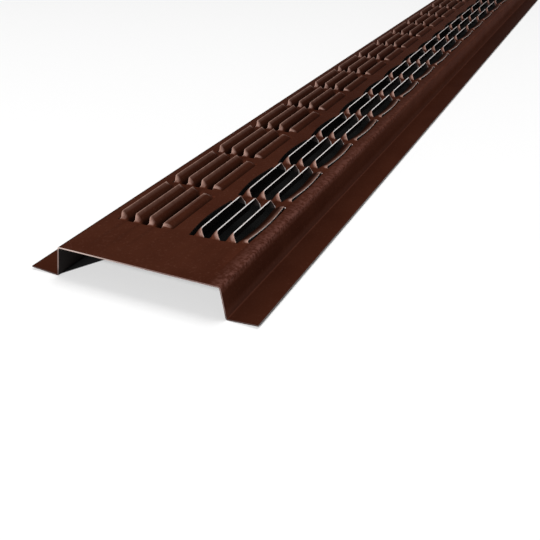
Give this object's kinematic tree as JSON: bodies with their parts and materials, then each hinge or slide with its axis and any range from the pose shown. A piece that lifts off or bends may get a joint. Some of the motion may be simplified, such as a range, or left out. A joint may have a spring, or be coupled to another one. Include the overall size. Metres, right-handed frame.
{
  "type": "soffit vent",
  "caption": "Folded hat-section strip vent with lanced louvers in two rows along its face and a nailing flange down each side; lets air into a roof space through a soffit slot.",
  "frame": {"origin": "middle of the strip's length and width, on the surface that its flange bends rest on", "axes": "+X across the strip, +Y along it, +Z out of the louvered face"},
  "size_m": [0.0724, 0.6096, 0.0121],
  "materials": {
    "brown_paint": "semi-gloss dark brown baked paint on aluminium sheet, bare along the cut edges"
  },
  "bodies": {
    "root": {"vent_strip": "brown_paint"}
  },
  "joints": []
}
